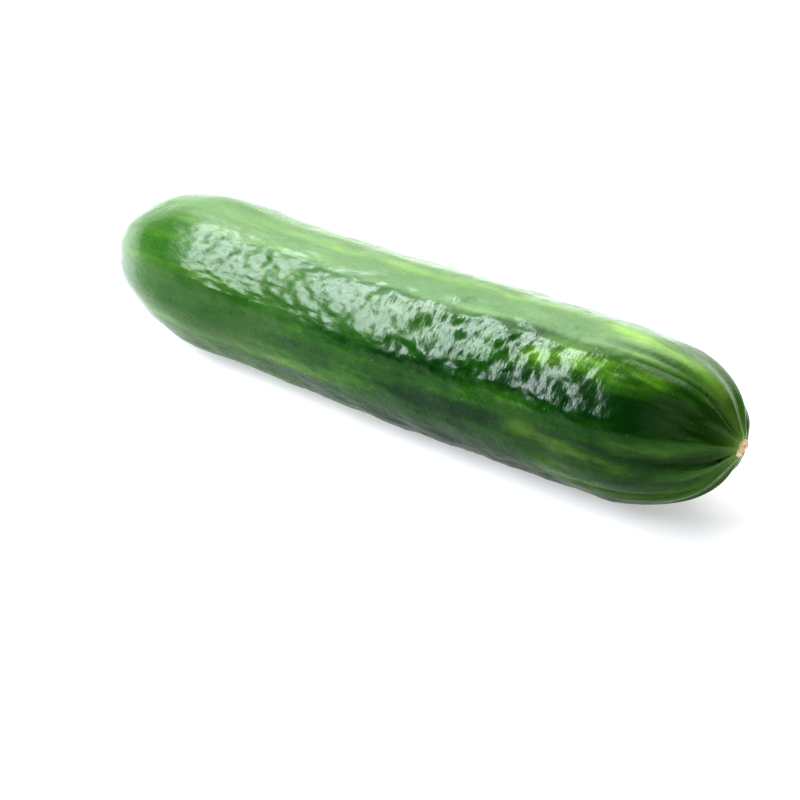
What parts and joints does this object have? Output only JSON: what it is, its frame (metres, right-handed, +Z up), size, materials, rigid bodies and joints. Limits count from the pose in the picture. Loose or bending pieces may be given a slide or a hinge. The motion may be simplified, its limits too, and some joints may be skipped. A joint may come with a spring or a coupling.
{
  "type": "cucumber",
  "caption": "Whole smooth-skinned cucumber lying on its side, with faint ribs, a corky stem scar at one end and a small blossom scar at the other.",
  "frame": {"origin": "on the resting surface, under the middle of the fruit's length and width", "axes": "+X along the fruit, towards the stem end; +Z up from the resting surface; the fruit's middle bows a little towards -Y"},
  "size_m": [0.2202, 0.05, 0.0497],
  "materials": {
    "skin": "waxy gloss",
    "scar": "dry matt cork"
  },
  "bodies": {
    "root": {"cucumber": "skin"}
  },
  "joints": []
}
